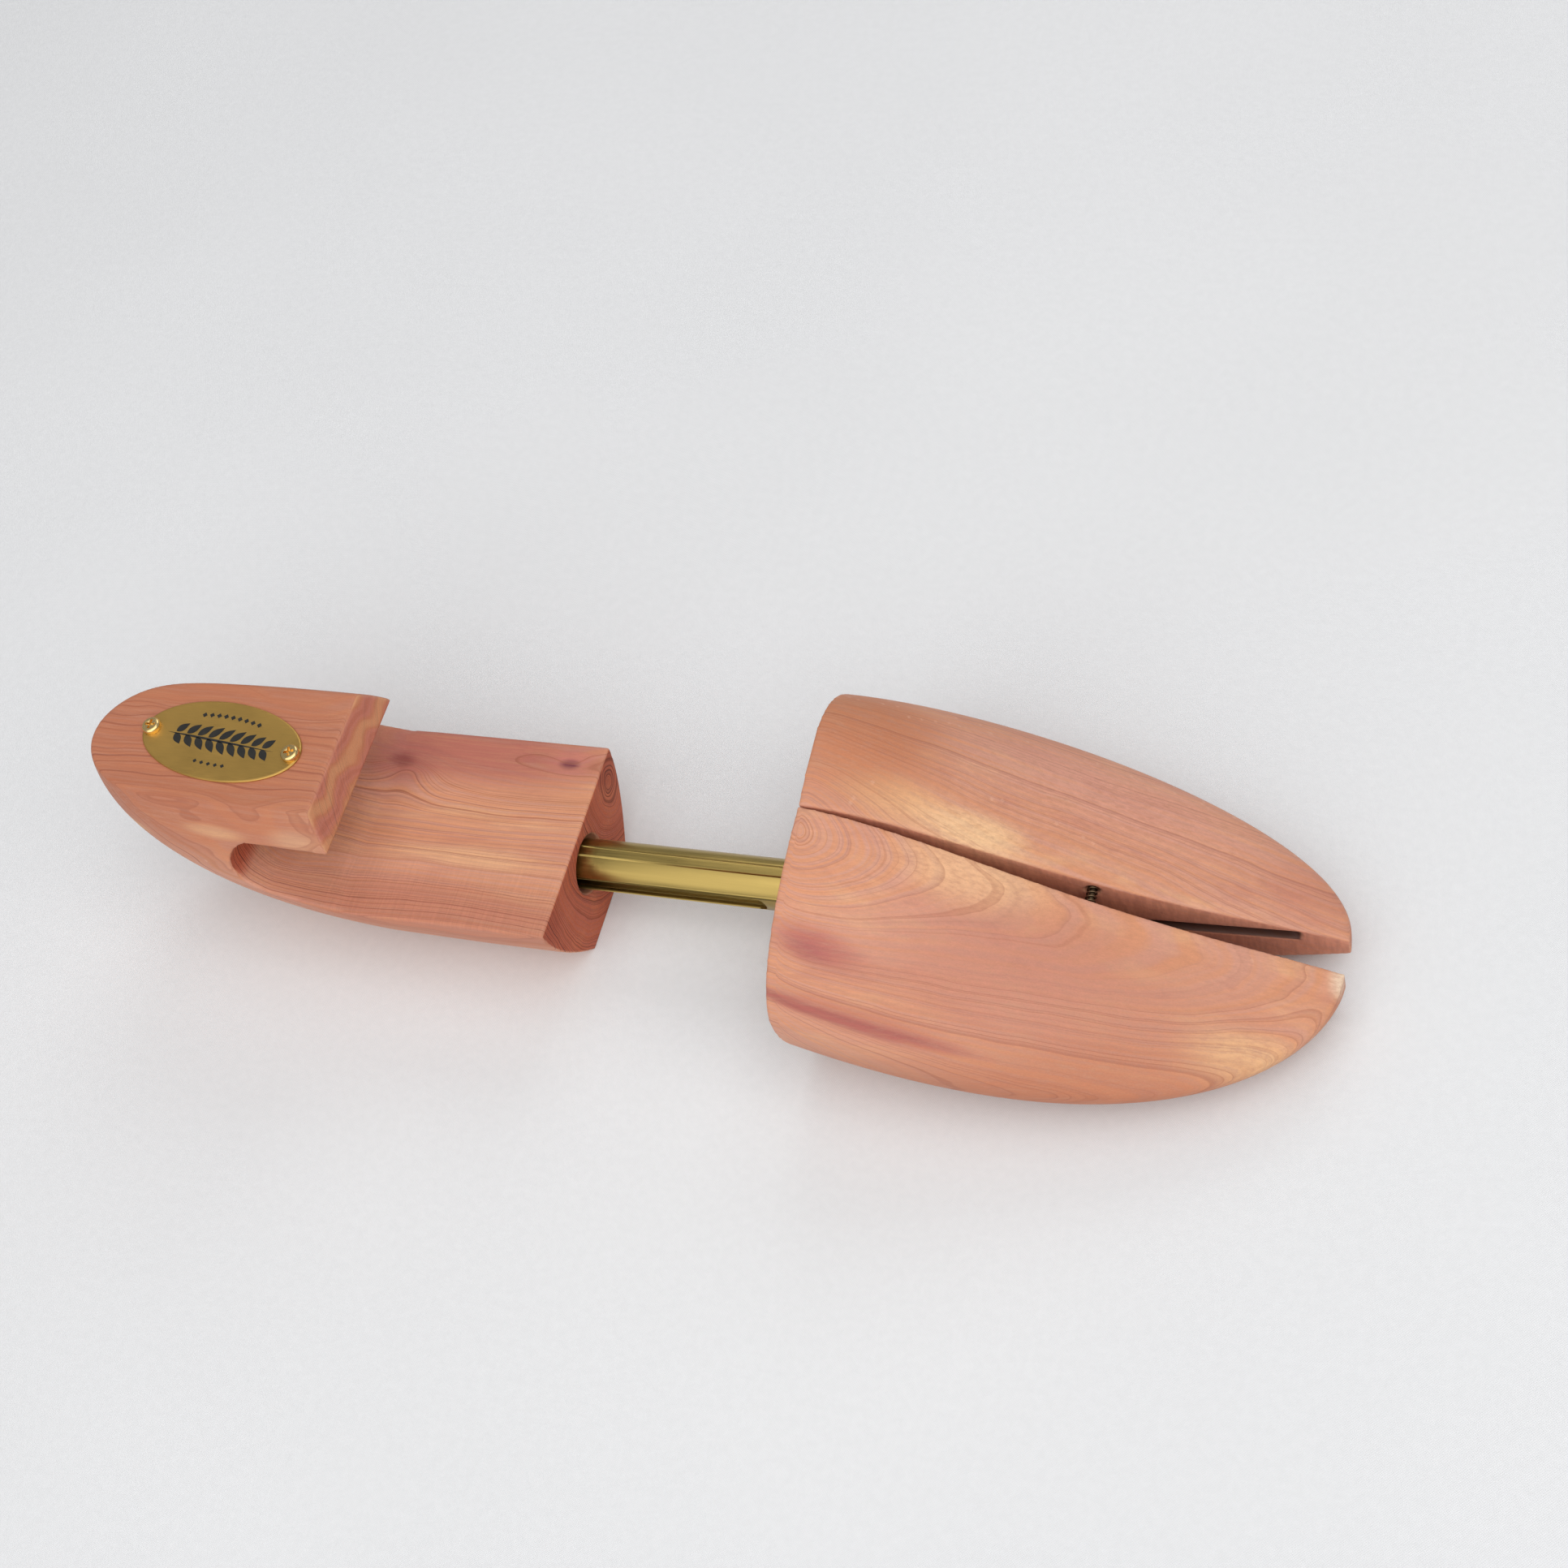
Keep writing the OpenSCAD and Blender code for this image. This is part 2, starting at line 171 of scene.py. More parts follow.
HEEL_LEN = 108
HEEL_HALF_W = 23.75
BASE_HALF_W = 12
BAR_H = 25.5
HOOK_HALF_W = 15.3
TAPER_FROM = 0.36
TAPER_POWER = 2.4
BASE_FROM = 0.15
BASE_POWER, BASE_ROUND = 1.2, 0.6
HEEL_RISE, RISE_POWER = 14, 3
TOP_SHARE = 0.97
TOP_CORNER = 6  # exponent that joins the hook's width to the narrowing flank
TUCK_Z, TUCK_TOP, TUCK_BASE = 37, 2, 12
STRAIGHT_STEPS, BEND_STEPS, BEND_END = 14, 110, 89.4

SLOT_BACK, SLOT_Z, SLOT_R = 62, 36, 7.5
SLOT_STEPS = 32
HOOK_EDGE, HOOK_LEAN = 47.5, 1.8
LIP_BACK, LIP_Z = 44.3, 42.6
SAW_HALF_W = 40

BORE_D, BORE_R = 92, 6.45
HEEL_VOXEL, HEEL_SANDING = 0.4, 8


def share_past(u, start):
    return max(0, (u - start) / (1 - start))


def taper(u):
    """Share of the full width left at share u of the way back."""
    return math.sqrt(max(0, 1 - share_past(u, TAPER_FROM) ** TAPER_POWER))


def tuck(z):
    """How far the heel's back leans forward at height z."""
    if z > TUCK_Z:
        return TUCK_TOP * ((z - TUCK_Z) / (HOOK_TOP - TUCK_Z)) ** 2
    return TUCK_BASE * ((TUCK_Z - z) / TUCK_Z) ** 2


def heel_flank(u, steps):
    """One side's outline from the base up, at share u of the way back."""
    wide = HEEL_HALF_W * taper(u)
    top = (HOOK_HALF_W ** -TOP_CORNER + (TOP_SHARE * wide) ** -TOP_CORNER) ** (-1 / TOP_CORNER)
    wide_z = BAR_H + TOP_SHARE * (HOOK_TOP - BAR_H) * math.sqrt(1 - taper(u))
    base = BASE_HALF_W * (1 - share_past(u, BASE_FROM) ** BASE_POWER) ** BASE_ROUND
    base_z = HEEL_RISE * share_past(u, TAPER_FROM) ** RISE_POWER
    low_h = wide_z - base_z
    low = [
        (base, base_z),
        ((base + wide) / 2, base_z + 0.3 * low_h),
        (wide, base_z + 0.7 * low_h),
        (wide, wide_z),
    ]
    high = [(wide, wide_z), (wide, (wide_z + HOOK_TOP) / 2), (top, HOOK_TOP)]
    lower = [bezier2(low, i / steps) for i in range(steps)]
    return lower + [bezier2(high, i / steps) for i in range(steps + 1)]


def heel_ring(u, steps=26):
    side = heel_flank(u, steps)
    around = side + [(-y, z) for y, z in reversed(side)]
    return [(HEEL_FRONT - HEEL_LEN * u + tuck(z) * u ** 3, y, z) for y, z in around]


def finger_slot():
    """What is sawn away above the bar and under the hook."""
    slot_x = HEEL_FRONT - SLOT_BACK
    edge_x = HEEL_FRONT - HOOK_EDGE
    arc = [math.radians(90 + 180 * i / SLOT_STEPS) for i in range(SLOT_STEPS + 1)]
    round_end = [(slot_x + SLOT_R * math.cos(a), SLOT_Z + SLOT_R * math.sin(a)) for a in arc]
    front = [
        (edge_x, BAR_H),
        (HEEL_FRONT + PAST, BAR_H),
        (HEEL_FRONT + PAST, HOOK_TOP + PAST),
        (edge_x - HOOK_LEAN, HOOK_TOP + PAST),
        (edge_x, HOOK_TOP),
        (HEEL_FRONT - LIP_BACK, LIP_Z),
    ]
    return prism(round_end + front, lambda u, v, w: (u, w, v), -SAW_HALF_W, SAW_HALF_W)


RETAINER_X = HEEL_FRONT - 25
RETAINER_R, RETAINER_FROM, RETAINER_TO = 1.3, -10.5, 30
SLOT_ANGLE = math.radians(4)
PLATE_X = HEEL_FRONT - 74.1
PLATE_TURN = math.radians(-5.6)
SCREW_GAP = 35.6
SCREW_R, SCREW_D, SCREW_PAST = 1, 6, 2


def on_plate(x, y, z):
    """Point of the turned plate, with x along it and z up from the hook's top."""
    c, s = math.cos(PLATE_TURN), math.sin(PLATE_TURN)
    return (PLATE_X + x * c - y * s, x * s + y * c, HOOK_TOP + z)


def screw_hole(end, low):
    """Cutter for the screw at one end of the plate, from height low to above the plate."""
    x = end * SCREW_GAP / 2
    return rod(on_plate(x, 0, low), on_plate(x, 0, SCREW_PAST), SCREW_R)


def heel_wood():
    straight = [TAPER_FROM * i / STRAIGHT_STEPS for i in range(STRAIGHT_STEPS)]
    bend = [math.sin(math.radians(BEND_END * i / BEND_STEPS)) for i in range(BEND_STEPS + 1)]
    stations = straight + [TAPER_FROM + (1 - TAPER_FROM) * b for b in bend]
    block = loft("heel_wood", [heel_ring(u) for u in stations])
    across = Vector((0, math.cos(SLOT_ANGLE), math.sin(SLOT_ANGLE)))
    pin_at = Vector((RETAINER_X, 0, AXIS_Z))
    cut(block, [
        finger_slot(),
        rod((HEEL_FRONT - BORE_D, 0, AXIS_Z), (HEEL_FRONT + PAST, 0, AXIS_Z), BORE_R, 96),
        rod(pin_at + RETAINER_FROM * across, pin_at + RETAINER_TO * across, RETAINER_R),
        screw_hole(NEAR, -SCREW_D),
        screw_hole(FAR, -SCREW_D),
    ])
    return soften(block, HEEL_VOXEL, HEEL_SANDING)


# ------------------------------------------------------------------ toe block

TOE_LEN = 104
HALF_W = {NEAR: [37, 40.5, 39, 39], FAR: [37, 41.5, 35.5, 30.5]}
CROWN_Y = [14.5, 6.5, 2.5, 0]
CROWN_Z = [49.5, 46, 22, 20.5, 12]
WIDE_Z = [26, 17, 10.5, 10.5]
TIP_HALF_W = 1.5
NOSE_POWER, NOSE_ROUND = 3, 0.52
TOE_SPRING = 7
SOLE_ROUND, FULL_ROUND_W = 22, 34
HALF_OPEN = math.radians(1.9)
REAR_SLIT = 0.3
KERF_D, KERF_H, KERF_DROP, KERF_LEFT = 16, 2.4, 3.5, 9
SAW_R, SAW_STEPS = 45, 24
CHANNEL_R, CHANNEL_D = 6.2, 22
PIVOT_X, PIVOT_OUT, PIVOT_TOP, PIVOT_R = TOE_REAR + 20, 9, 30, 1.5
SPREAD_X, SPREAD_Z = TOE_REAR + 55, 24
SPREAD_HOLE_R, SPREAD_HOLE_D = 1.5, 9.5
TOE_STEPS, TIP_CROWDING = 120, 1.7
TOE_VOXEL, TOE_SANDING = 0.4, 12


def nose(s):
    """Share of the width left at share s of the way to the tip."""
    return max(0, 1 - s ** NOSE_POWER) ** NOSE_ROUND


def toe_half_w(s, side):
    return bezier(HALF_W[side], s) * nose(s) + TIP_HALF_W * s


def sole_z(s):
    return TOE_SPRING * max(0, 2 * s - 1) ** 2


def crown(s, side, y):
    """Height of a half's top at a distance y from the split."""
    peak = side * bezier(CROWN_Y, s) * nose(s)
    if y < peak:
        span = toe_half_w(s, -side) + peak
    else:
        span = toe_half_w(s, side) - peak
    r = min(1, abs(y - peak) / span)
    low = bezier(WIDE_Z, s)
    return low + (bezier(CROWN_Z, s) - low) * math.sqrt(1 - r * r)


def toe_outline(s, side, over=44, under=20):
    """Outline of a closed half from the crown round to the sole, with over and under steps."""
    w = toe_half_w(s, side)
    low = bezier(WIDE_Z, s)
    inset = SOLE_ROUND * min(1, w / FULL_ROUND_W)
    top = [w * math.sin(math.pi / 2 * i / over) for i in range(over + 1)]
    outline = [(y, crown(s, side, y)) for y in top]
    for i in range(1, under + 1):
        a = math.pi / 2 * i / under
        outline.append((w - inset * (1 - math.cos(a)), low - (low - sole_z(s)) * math.sin(a)))
    outline.append((0, sole_z(s)))
    return outline


def placing(side):
    """Matrix, in metres, from a closed toe half to where it stands open."""
    turn = Matrix.Rotation(side * HALF_OPEN, 4, "Z")
    return Matrix.Translation((TOE_REAR * MM, side * REAR_SLIT / 2 * MM, 0)) @ turn


def opened(side):
    """Places a point, in millimetres, of the closed toe where its half stands open."""
    place = placing(side)
    return lambda p: (place @ (Vector(p) * MM)) / MM


def kerf(side, at):
    """Slot that a round saw leaves in a half's inner face."""
    end_x = TOE_LEN - KERF_LEFT
    saw_x = end_x - math.sqrt(SAW_R ** 2 - (SAW_R - KERF_D) ** 2)
    spread = math.atan2(end_x - saw_x, SAW_R - KERF_D)
    arc = [spread * i / SAW_STEPS for i in range(SAW_STEPS + 1)]
    curve = [
        (saw_x + SAW_R * math.sin(a), KERF_D - SAW_R * (1 - math.cos(a)))
        for a in arc
    ]
    outline = [(-PAST, -PAST), (-PAST, KERF_D)] + curve + [(end_x, -PAST)]
    z = AXIS_Z - KERF_DROP
    return prism(outline, lambda u, v, w: at((u, side * v, w)), z - KERF_H / 2, z + KERF_H / 2)


def toe_wood(name, side):
    at = opened(side)
    stations = [1 - (1 - i / TOE_STEPS) ** TIP_CROWDING for i in range(TOE_STEPS + 1)]
    rings = [
        [at((TOE_LEN * s, side * y, z)) for y, z in toe_outline(s, side)]
        for s in stations
    ]
    half = loft(name, rings)
    out = side * PIVOT_OUT
    hole_end = (SPREAD_X, side * SPREAD_HOLE_D, SPREAD_Z)
    cut(half, [
        kerf(side, at),
        rod((TOE_REAR - PAST, 0, AXIS_Z), (TOE_REAR + CHANNEL_D, 0, AXIS_Z), CHANNEL_R, 96),
        rod((PIVOT_X, out, -PAST), (PIVOT_X, out, PIVOT_TOP), PIVOT_R),
        rod((SPREAD_X, 0, SPREAD_Z), hole_end, SPREAD_HOLE_R),
    ])
    # The even mesh is made with the split along an axis, which keeps its edges straight.
    half.data.transform(placing(side).inverted())
    soften(half, TOE_VOXEL, TOE_SANDING)
    half.data.transform(placing(side))
    return half


# ------------------------------------------------------------------ oval plate

PLATE_LEN, PLATE_W, PLATE_T = 39.6, 19.6, 0.5
# Distance in from the oval and height, from the plate's underside up to its top.
PLATE_EDGE = (
    (0.06, 0),
    (0, 0.06),
    (0, PLATE_T - 0.22),
    (0.12, PLATE_T - 0.07),
    (0.36, PLATE_T),
)
PLATE_STEPS = 160
ENAMEL_SUNK, ENAMEL_T = 0.02, 0.04
STEM_X, STEM_Y, STEM_LEN, STEM_W = -13.6, -0.2, 27.0, 0.55
LEAF_PAIRS, LEAF_X, LEAF_GAP, LEAF_OUT = 9, -11.6, 2.75, 0.25
LEAF_LEN, LEAF_SHRINK, LEAF_W, LEAF_TURN = 4.1, 0.05, 1.75, math.radians(47)
# Each row of diamonds: its place across the plate, how many, and their size.
DIAMOND_ROWS = ((6.0, 9, 0.62), (-6.0, 5, 0.5))
DIAMOND_GAP, ROW_BOW = 1.75, 0.012


def lens(x, y, length, width, angle, steps=12):
    """Outline of a pointed leaf that grows from (x, y) at an angle."""
    c, s = math.cos(angle), math.sin(angle)
    along = [i / steps for i in range(steps + 1)]
    upper = [(length * t, width / 2 * math.sin(math.pi * t ** 0.8)) for t in along]
    lower = [(u, -v) for u, v in reversed(upper[1:-1])]
    return [(x + u * c - v * s, y + u * s + v * c) for u, v in upper + lower]


def ornament():
    """Outlines of a leafy sprig between two rows of small diamonds."""
    shapes = [lens(STEM_X, STEM_Y, STEM_LEN, STEM_W, 0)]
    middle = (LEAF_PAIRS - 1) / 2
    for i in range(LEAF_PAIRS):
        x = LEAF_X + LEAF_GAP * i
        size = LEAF_LEN - LEAF_SHRINK * (i - middle) ** 2
        for side in (NEAR, FAR):
            shapes.append(lens(x, LEAF_OUT * side, size, LEAF_W, side * LEAF_TURN))
    for row_y, count, size in DIAMOND_ROWS:
        for i in range(count):
            x = DIAMOND_GAP * (i - (count - 1) / 2)
            y = row_y - math.copysign(ROW_BOW * x * x, row_y)
            shapes.append([(x - size, y), (x, y - size), (x + size, y), (x, y + size)])
    return shapes


def plate_piece():
    """Plate with its ornament in a second material, as one mesh."""
    turns = [2 * math.pi * i / PLATE_STEPS for i in range(PLATE_STEPS)]
    rings = []
    for inset, z in PLATE_EDGE:
        a, b = PLATE_LEN / 2 - inset, PLATE_W / 2 - inset
        rings.append([on_plate(a * math.cos(t), b * math.sin(t), z) for t in turns])
    base = loft("oval_plate_detailed", rings)
    cut(base, [screw_hole(end, -1) for end in (NEAR, FAR)])
    printed = [
        prism(shape, on_plate, PLATE_T - ENAMEL_SUNK, PLATE_T + ENAMEL_T)
        for shape in ornament()
    ]
    work = bmesh.new()
    work.from_mesh(base.data)
    for shape in printed:
        first = len(work.faces)
        work.from_mesh(shape.data)
        work.faces.ensure_lookup_table()
        for face in work.faces[first:]:
            face.material_index = 1
        bpy.data.objects.remove(shape)
    work.to_mesh(base.data)
    work.free()
    return base


# ------------------------------------------------------------------ springs

def coil(name, start, axis, mean_r, wire_r, length, turns, per_turn=40, sides=14):
    """Coil spring of round wire, from start along axis, with open ends."""
    turn = Vector(axis).to_track_quat("Z", "Y")
    n = turns * per_turn
    rings = []
    for i in range(n + 1):
        a = 2 * math.pi * i / per_turn
        rise = wire_r + (length - 2 * wire_r) * i / n
        ring = []
        for j in range(sides):
            b = 2 * math.pi * j / sides
            r = mean_r + wire_r * math.cos(b)
            local = Vector((r * math.cos(a), r * math.sin(a), rise + wire_r * math.sin(b)))
            ring.append(Vector(start) + turn @ local)
        rings.append(ring)
    obj = loft(name, rings)
    smooth_shading(obj)
    return obj


# ------------------------------------------------------------------ material helpers

def rgb(r, g, b):
    """Linear colour of a display colour given from 0 to 255."""
    def one(c):
        c /= 255
        return c / 12.92 if c <= 0.04045 else ((c + 0.055) / 1.055) ** 2.4
    return (one(r), one(g), one(b), 1)


# Places of the colour sockets on a Mix node, whose names repeat.
MIX_A, MIX_B, MIX_RESULT = 6, 7, 2


class Graph:
    """A material's node graph. Its methods take sockets or constants and give a socket."""

    def __init__(self, name):
        self.material = bpy.data.materials.new(name)
        self.material.use_nodes = True
        self.tree = self.material.node_tree
        self.tree.nodes.clear()
        self.shader = self.add("ShaderNodeBsdfPrincipled")
        out = self.add("ShaderNodeOutputMaterial")
        self.tree.links.new(self.shader.outputs[0], out.inputs[0])

    def add(self, kind, **settings):
        node = self.tree.nodes.new(kind)
        for key, value in settings.items():
            setattr(node, key, value)
        return node

    def put(self, socket, value):
        if isinstance(value, bpy.types.NodeSocket):
            self.tree.links.new(value, socket)
        else:
            socket.default_value = value

    def math(self, operation, a, b=0.0, c=0.0):
        node = self.add("ShaderNodeMath", operation=operation)
        for socket, value in zip(node.inputs, (a, b, c)):
            self.put(socket, value)
        return node.outputs[0]

    def vector(self, operation, a, b=(0, 0, 0)):
        node = self.add("ShaderNodeVectorMath", operation=operation)
        self.put(node.inputs[0], a)
        self.put(node.inputs[1], b)
        return node.outputs[0]

    def axes(self, vector):
        """The vector's x, y and z."""
        node = self.add("ShaderNodeSeparateXYZ")
        self.put(node.inputs[0], vector)
        return node.outputs

    def join(self, x, y, z):
        node = self.add("ShaderNodeCombineXYZ")
        for socket, value in zip(node.inputs, (x, y, z)):
            self.put(socket, value)
        return node.outputs[0]

    def place(self):
        """Place on the piece, in millimetres."""
        source = self.add("ShaderNodeTexCoord").outputs["Object"]
        return self.vector("MULTIPLY", source, (1000, 1000, 1000))

    def noise(self, at, per_mm, detail=2.0, rough=0.5, shift=(0, 0, 0), out="Factor"):
        """Noise with its own frequency along each axis."""
        at = self.vector("ADD", self.vector("MULTIPLY", at, per_mm), shift)
        node = self.add("ShaderNodeTexNoise")
        self.put(node.inputs["Vector"], at)
        node.inputs["Scale"].default_value = 1
        node.inputs["Detail"].default_value = detail
        node.inputs["Roughness"].default_value = rough
        return node.outputs["Fac" if out == "Factor" else "Color"]

    def step(self, value, low, high, to_low=0.0, to_high=1.0):
        """Soft change from to_low to to_high while value goes from low to high."""
        node = self.add("ShaderNodeMapRange", interpolation_type="SMOOTHSTEP")
        for socket, x in zip(node.inputs, (value, low, high, to_low, to_high)):
            self.put(socket, x)
        return node.outputs[0]

    def mix(self, share, a, b):
        """Colour a where share is 0, colour b where it is 1."""
        node = self.add("ShaderNodeMix", data_type="RGBA")
        self.put(node.inputs["Factor"], share)
        self.put(node.inputs[MIX_A], a)
        self.put(node.inputs[MIX_B], b)
        return node.outputs[MIX_RESULT]

    def shade(self, colour, factor):
        """Colour times a factor."""
        return self.vector("MULTIPLY", colour, self.join(factor, factor, factor))

    def bump(self, height, depth_mm):
        node = self.add("ShaderNodeBump")
        self.put(node.inputs["Height"], height)
        node.inputs["Distance"].default_value = depth_mm * MM
        return node.outputs[0]

    def finish(self, **inputs):
        for key, value in inputs.items():
            self.put(self.shader.inputs[key.replace("_", " ")], value)
        return self.material


# ------------------------------------------------------------------ cedar

PINK = rgb(209, 150, 126)
TAN = rgb(208, 143, 107)
CREAM = rgb(224, 172, 130)
PURPLE = rgb(160, 84, 84)
LATE = rgb(152, 86, 64)
SAWN = rgb(214, 140, 114)
SAWN_DARK = rgb(176, 110, 90)
# Painted shade for the insides of the kerfs.
KERF_SHADE = rgb(52, 27, 24)
WORN_EDGE = rgb(226, 176, 150)
END_SCUFF = rgb(190, 132, 112)
END_TINT = (0.98, 0.55, 0.46)  # what end grain leaves of red, green and blue
HOOK_PINK = rgb(204, 134, 116)
HOOK_TAN = rgb(203, 136, 100)
HOOK_CREAM = rgb(226, 172, 124)
HOOK_LINE = rgb(170, 98, 76)

RING_SPACING, RING_UNEVEN = 2.9, 2.4
KNOT_FADE = 1.6
GRAIN_RELIEF = 0.05
HEEL_PITH_Y, HEEL_PITH_Z = 18.5, 20.0
TOE_PITH_Y, TOE_PITH_Z = -5.2, 49.5
TOE_PITH_SLOPE, TOE_PITH_CURVE, TOE_PITH_DIVE = -0.462, 0.00095, 5.05


def spot_mask(g, at, centre, radii, slope=0.0):
    """1 inside a soft ellipsoid, 0 outside. slope is how its middle falls along X."""
    x, y, z = g.axes(g.vector("SUBTRACT", at, centre))
    z = g.math("SUBTRACT", z, g.math("MULTIPLY", x, slope))
    scaled = g.vector("DIVIDE", g.join(x, y, z), radii)
    length = g.add("ShaderNodeVectorMath", operation="LENGTH")
    g.put(length.inputs[0], scaled)
    return g.step(length.outputs["Value"], 0.25, 1.0, 1.0, 0.0)


def sway(g, here, per_mm, shift, reach):
    """Slow sideways wander of the grain, of up to half of reach in millimetres."""
    wander = g.noise(here, per_mm, 1, 0.4, shift, "Color")
    centred = g.vector("SUBTRACT", wander, (0.5, 0.5, 0.5))
    return g.vector("MULTIPLY", centred, (0, reach, reach))


def round_knots(g, x, y, knots):
    """The place across the grain, pushed aside near each knot."""
    for (knot_x, knot_y), (reach_x, reach_y), push in knots:
        dx = g.math("DIVIDE", g.math("SUBTRACT", x, knot_x), reach_x)
        dy = g.math("DIVIDE", g.math("SUBTRACT", y, knot_y), reach_y)
        d2 = g.math("ADD", g.math("MULTIPLY", dx, dx), g.math("MULTIPLY", dy, dy))
        fade = g.math("POWER", g.math("ADD", d2, 1.0), KNOT_FADE)
        y = g.math("ADD", y, g.math("DIVIDE", push, fade))
    return y


def late_wood(g, radius, seed):
    """Darkness of the yearly line at a ring radius, stronger in some years than in others."""
    uneven = g.add("ShaderNodeTexNoise", noise_dimensions="1D")
    g.put(uneven.inputs["W"], g.math("MULTIPLY", radius, 0.22))
    uneven.inputs["Detail"].default_value = 1
    years = g.math("DIVIDE", radius, RING_SPACING)
    years = g.math("ADD", years, g.math("MULTIPLY", uneven.outputs["Fac"], RING_UNEVEN))
    own = g.add("ShaderNodeTexWhiteNoise", noise_dimensions="1D")
    g.put(own.inputs["W"], g.math("ADD", g.math("FLOOR", years), seed))
    part = g.math("FRACT", years)
    end = g.step(part, 0.95, 1.0, 1.0, 0.0)
    broad = g.math("MULTIPLY", g.step(part, 0.4, 0.93), end)
    thin = g.math("MULTIPLY", g.step(part, 0.78, 0.93), end)
    dark = g.math("MULTIPLY_ADD", broad, 0.4, g.math("MULTIPLY", thin, 0.6))
    return g.math("MULTIPLY", dark, g.math("MULTIPLY_ADD", own.outputs["Value"], 0.85, 0.15))


def ring_tone(g, radius, seed):
    """Noise that changes from ring to ring, so that bands of rings share a tone."""
    bands = g.add("ShaderNodeTexNoise", noise_dimensions="1D")
    g.put(bands.inputs["W"], g.math("MULTIPLY_ADD", radius, 0.3, seed))
    bands.inputs["Detail"].default_value = 2
    return bands.outputs["Fac"]


def cedar(name, ring_radius, knots, spots, seed, wander, ripples, line, end_dark, cut_marks):
    """Cedar cut from a trunk whose ring radius at a place is given by ring_radius."""
    g = Graph(name)
    here = g.place()
    drift = sway(g, here, (0.014, 0.04, 0.04), (seed, 3, 7), wander)
    ripple = sway(g, here, (0.07, 0.2, 0.2), (seed + 4, 1, 2), ripples)
    at = g.vector("ADD", here, g.vector("ADD", drift, ripple))
    x, y, z = g.axes(at)
    radius = ring_radius(g, x, round_knots(g, x, y, knots), z)
    dark = late_wood(g, radius, seed)
    broad_ring = ring_tone(g, radius, seed)

    zone = g.noise(at, (0.012, 0.06, 0.06), 3, 0.55, (seed + 9, 5, 1))
    broad = g.noise(at, (0.03, 0.16, 0.16), 3, 0.6, (seed + 2, 8, 3))
    fibre = g.noise(at, (0.045, 1.5, 1.5), 4, 0.65, (seed, 0, 0))
    hair = g.noise(at, (0.25, 7.0, 7.0), 2, 0.6, (0, seed, 4))
    speck = g.noise(here, (1.6, 3.2, 3.2), 3, 0.7, (seed, 6, 0))

    ringed = g.math("MULTIPLY_ADD", broad_ring, 0.6, g.math("MULTIPLY", zone, 0.4))
    colour = g.mix(g.step(ringed, 0.4, 0.6), PINK, TAN)
    colour = g.mix(g.step(broad, 0.5, 0.75, 0.0, 0.5), colour, CREAM)
    colour = g.mix(g.step(broad, 0.46, 0.28, 0.0, 0.22), colour, PURPLE)
    patchy = g.step(fibre, 0.3, 0.6, 0.6, 1.0)
    for centre, radii, slope, tint, strength in spots:
        mask = g.math("MULTIPLY", spot_mask(g, at, centre, radii, slope), patchy)
        colour = g.mix(g.math("MULTIPLY", mask, strength), colour, tint)
    colour = g.mix(g.math("MULTIPLY", dark, line), colour, LATE)
    tone = g.step(fibre, 0.25, 0.75, -0.085, 0.06)
    tone = g.math("ADD", tone, g.step(hair, 0.2, 0.8, -0.05, 0.04))
    tone = g.math("ADD", tone, g.step(speck, 0.3, 0.75, 0.02, -0.03))
    tone = g.math("ADD", tone, g.step(broad_ring, 0.3, 0.7, 0.97, 1.04))
    colour = g.shade(colour, tone)

    facing = g.axes(g.add("ShaderNodeTexCoord").outputs["Normal"])
    endways = g.math("MULTIPLY", g.step(g.math("ABSOLUTE", facing[0]), 0.8, 0.99), end_dark)
    end_tone = g.math("MULTIPLY_ADD", dark, -0.45, 0.85)
    end_tone = g.math("MULTIPLY", end_tone, g.step(speck, 0.3, 0.7, 0.9, 1.08))
    end_colour = g.vector("MULTIPLY", g.shade(colour, end_tone), END_TINT)
    end_colour = g.mix(g.step(speck, 0.58, 0.8, 0.0, 0.5), end_colour, END_SCUFF)
    colour = g.mix(endways, colour, end_colour)
    colour, marks = cut_marks(g, here, facing, colour)

    worn = g.add("ShaderNodeNewGeometry").outputs["Pointiness"]
    worn = g.math("MULTIPLY", g.step(worn, 0.54, 0.63), g.step(speck, 0.35, 0.65, 0.3, 1.0))
    colour = g.mix(g.math("MULTIPLY", worn, 0.45), colour, WORN_EDGE)

    relief = g.math("ADD", g.math("MULTIPLY", fibre, 0.6), g.math("MULTIPLY", hair, 0.4))
    relief = g.math("ADD", relief, g.math("MULTIPLY", dark, 0.5))
    relief = g.math("ADD", relief, g.math("MULTIPLY", g.math("MULTIPLY", speck, endways), 2.0))
    relief = g.math("ADD", relief, marks)
    rough = g.math("ADD", g.step(fibre, 0.3, 0.7, 0.5, 0.62), g.math("MULTIPLY", endways, 0.2))
    return g.finish(
        Base_Color=colour,
        Roughness=rough,
        Normal=g.bump(relief, GRAIN_RELIEF),
        Specular_IOR_Level=0.35,
    )


def distance(g, dy, dz):
    return g.math("SQRT", g.math("ADD", g.math("MULTIPLY", dy, dy), g.math("MULTIPLY", dz, dz)))


def heel_rings(g, x, y, z):
    """Rings round a pith that runs along the heel, high on its far side."""
    dy = g.math("SUBTRACT", y, HEEL_PITH_Y)
    dz = g.math("SUBTRACT", z, HEEL_PITH_Z)
    return distance(g, dy, dz)


